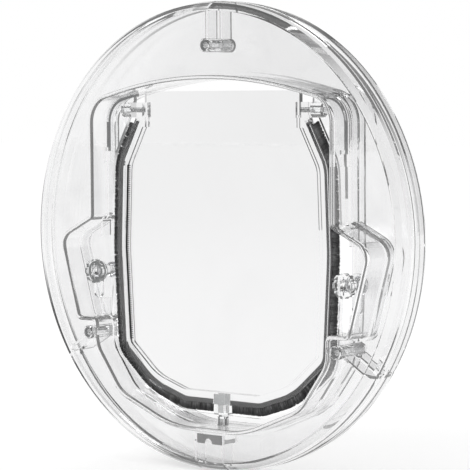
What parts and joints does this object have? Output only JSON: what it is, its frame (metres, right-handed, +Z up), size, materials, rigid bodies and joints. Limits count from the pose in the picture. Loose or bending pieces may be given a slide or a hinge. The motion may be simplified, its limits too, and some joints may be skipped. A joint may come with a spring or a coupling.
{
  "type": "cat flap",
  "caption": "Round clear plastic cat flap for a glass door: two clamped half frames, a brush-edged flap that swings both ways on side pins, turn locks in side pockets and a magnet catch.",
  "frame": {"origin": "centre of the round hole in the glass, in the middle plane of the gap that takes the pane", "axes": "+Z up, -Y towards the room side with the lock knobs, +X to the right seen from the room"},
  "size_m": [0.24, 0.03, 0.24],
  "materials": {
    "clear_frame": "clear moulded, polished",
    "clear_flap": "clear moulded, polished",
    "clear_small": "clear moulded, small pieces",
    "clear_screw": "clear nylon",
    "brush_backing": "woven dark grey",
    "brush_pile": "black upright pile",
    "grey_buffer": "grey rubber",
    "steel_washer": "pressed spring steel",
    "magnet": "bright nickel plating"
  },
  "bodies": {
    "frame": {"inner_frame": "clear_frame", "outer_frame": "clear_frame", "fixing_screws": "clear_screw", "corner_plate_left": "clear_small", "corner_plate_right": "clear_small", "magnet_post": "clear_small", "frame_magnet": "magnet", "foot_buffer": "grey_buffer"},
    "flap": {"flap_panel": "clear_flap", "brush_backing_left": "brush_backing", "brush_backing_right": "brush_backing", "brush_pile_left": "brush_pile", "brush_pile_right": "brush_pile", "pivot_pin_left": "clear_small", "pivot_pin_right": "clear_small", "magnet_holder": "clear_small", "flap_magnet": "magnet"},
    "lock_left": {"lock_knob_left": "clear_small", "lock_finger_left": "clear_small", "lock_washer_left": "steel_washer"},
    "lock_right": {"lock_knob_right": "clear_small", "lock_finger_right": "clear_small", "lock_washer_right": "steel_washer"}
  },
  "joints": [
    {"name": "flap_swing", "type": "hinge", "parent": "frame", "child": "flap", "pos_m": [0, 0.001, 0.0648], "axis": [1, 0, 0], "range_deg": [-80, 80]},
    {"name": "lock_left_turn", "type": "hinge", "parent": "frame", "child": "lock_left", "pos_m": [-0.0821, 0, -0.021], "axis": [0, -1, 0], "range_deg": [0, 90]},
    {"name": "lock_right_turn", "type": "hinge", "parent": "frame", "child": "lock_right", "pos_m": [0.0821, 0, -0.021], "axis": [0, 1, 0], "range_deg": [0, 90]}
  ]
}
